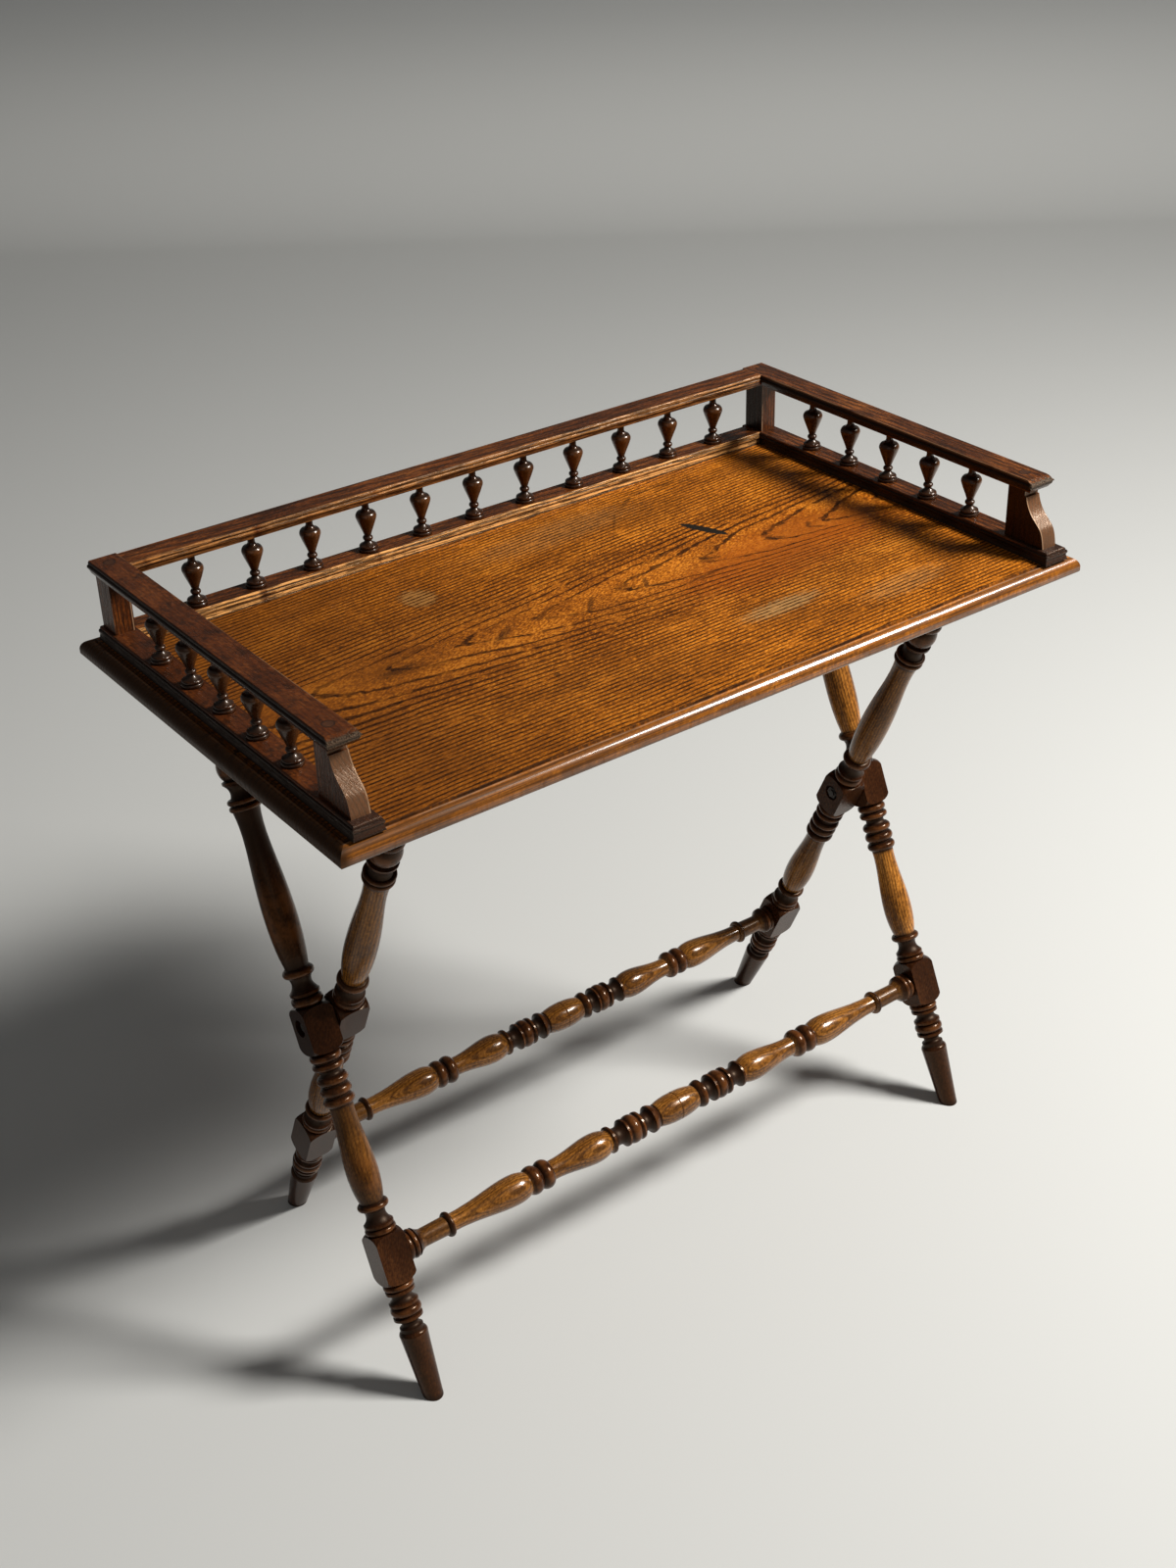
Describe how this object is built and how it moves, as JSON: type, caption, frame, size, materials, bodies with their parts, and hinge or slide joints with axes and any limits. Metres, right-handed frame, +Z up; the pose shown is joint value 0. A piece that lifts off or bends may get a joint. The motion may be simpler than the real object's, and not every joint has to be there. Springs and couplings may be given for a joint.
{
  "type": "tray table",
  "caption": "Folding oak tray table: a moulded board with a low spindle gallery on three sides, on crossed turned leg frames that scissor on pivot bolts.",
  "frame": {"origin": "on the floor under the centre of the tray, with the table standing open", "axes": "+X along the tray, +Y towards the back rail of the gallery (the open front is at -Y), +Z up"},
  "size_m": [0.9, 0.504, 0.814],
  "materials": {
    "board_oak": "waxed golden-brown oak, open grain",
    "gallery_oak": "polished red-brown oak",
    "spindle_oak": "polished red-brown turned oak",
    "leg_oak": "polished dark brown turned oak",
    "plug_oak": "end grain, worn",
    "steel": "dull old steel"
  },
  "bodies": {
    "outer_frame": {"outer_leg_left": "leg_oak", "outer_leg_right": "leg_oak", "outer_stretcher": "leg_oak", "outer_top_rail": "leg_oak", "pivot_bolt_left": "steel", "pivot_bolt_right": "steel", "pivot_nut_left": "steel", "pivot_nut_right": "steel", "pivot_washer_left": "steel", "pivot_washer_right": "steel"},
    "inner_frame": {"inner_leg_left": "leg_oak", "inner_leg_right": "leg_oak", "inner_stretcher": "leg_oak", "inner_top_rail": "leg_oak"},
    "tray": {"back_spindle_01": "spindle_oak", "back_spindle_02": "spindle_oak", "back_spindle_03": "spindle_oak", "back_spindle_04": "spindle_oak", "back_spindle_05": "spindle_oak", "back_spindle_06": "spindle_oak", "back_spindle_07": "spindle_oak", "back_spindle_08": "spindle_oak", "back_spindle_09": "spindle_oak", "back_spindle_10": "spindle_oak", "back_spindle_11": "spindle_oak", "bearer_screws": "steel", "corner_post_left": "gallery_oak", "corner_post_right": "gallery_oak", "front_bracket_left": "gallery_oak", "front_bracket_right": "gallery_oak", "gallery_bottom_rail_back": "gallery_oak", "gallery_bottom_rail_left": "gallery_oak", "gallery_bottom_rail_right": "gallery_oak", "gallery_screws": "steel", "gallery_top_rail_back": "gallery_oak", "gallery_top_rail_left": "gallery_oak", "gallery_top_rail_right": "gallery_oak", "left_spindle_01": "spindle_oak", "left_spindle_02": "spindle_oak", "left_spindle_03": "spindle_oak", "left_spindle_04": "spindle_oak", "left_spindle_05": "spindle_oak", "rail_dowels": "plug_oak", "rail_plugs": "plug_oak", "rail_screws": "steel", "right_spindle_01": "spindle_oak", "right_spindle_02": "spindle_oak", "right_spindle_03": "spindle_oak", "right_spindle_04": "spindle_oak", "right_spindle_05": "spindle_oak", "tray_bearer_left": "board_oak", "tray_bearer_right": "board_oak", "tray_board": "board_oak"}
  },
  "joints": [
    {"name": "leg_fold", "type": "hinge", "parent": "outer_frame", "child": "inner_frame", "pos_m": [0, -0.023, 0.381], "axis": [1, 0, 0], "range_deg": [-40, 0]},
    {"name": "tray_tilt", "type": "hinge", "parent": "outer_frame", "child": "tray", "pos_m": [0, 0.1182, 0.693], "axis": [1, 0, 0], "range_deg": [-20, 0]}
  ],
  "couplings": [
    {"joint": "tray_tilt", "follows": "leg_fold", "ratio": 0.5}
  ]
}
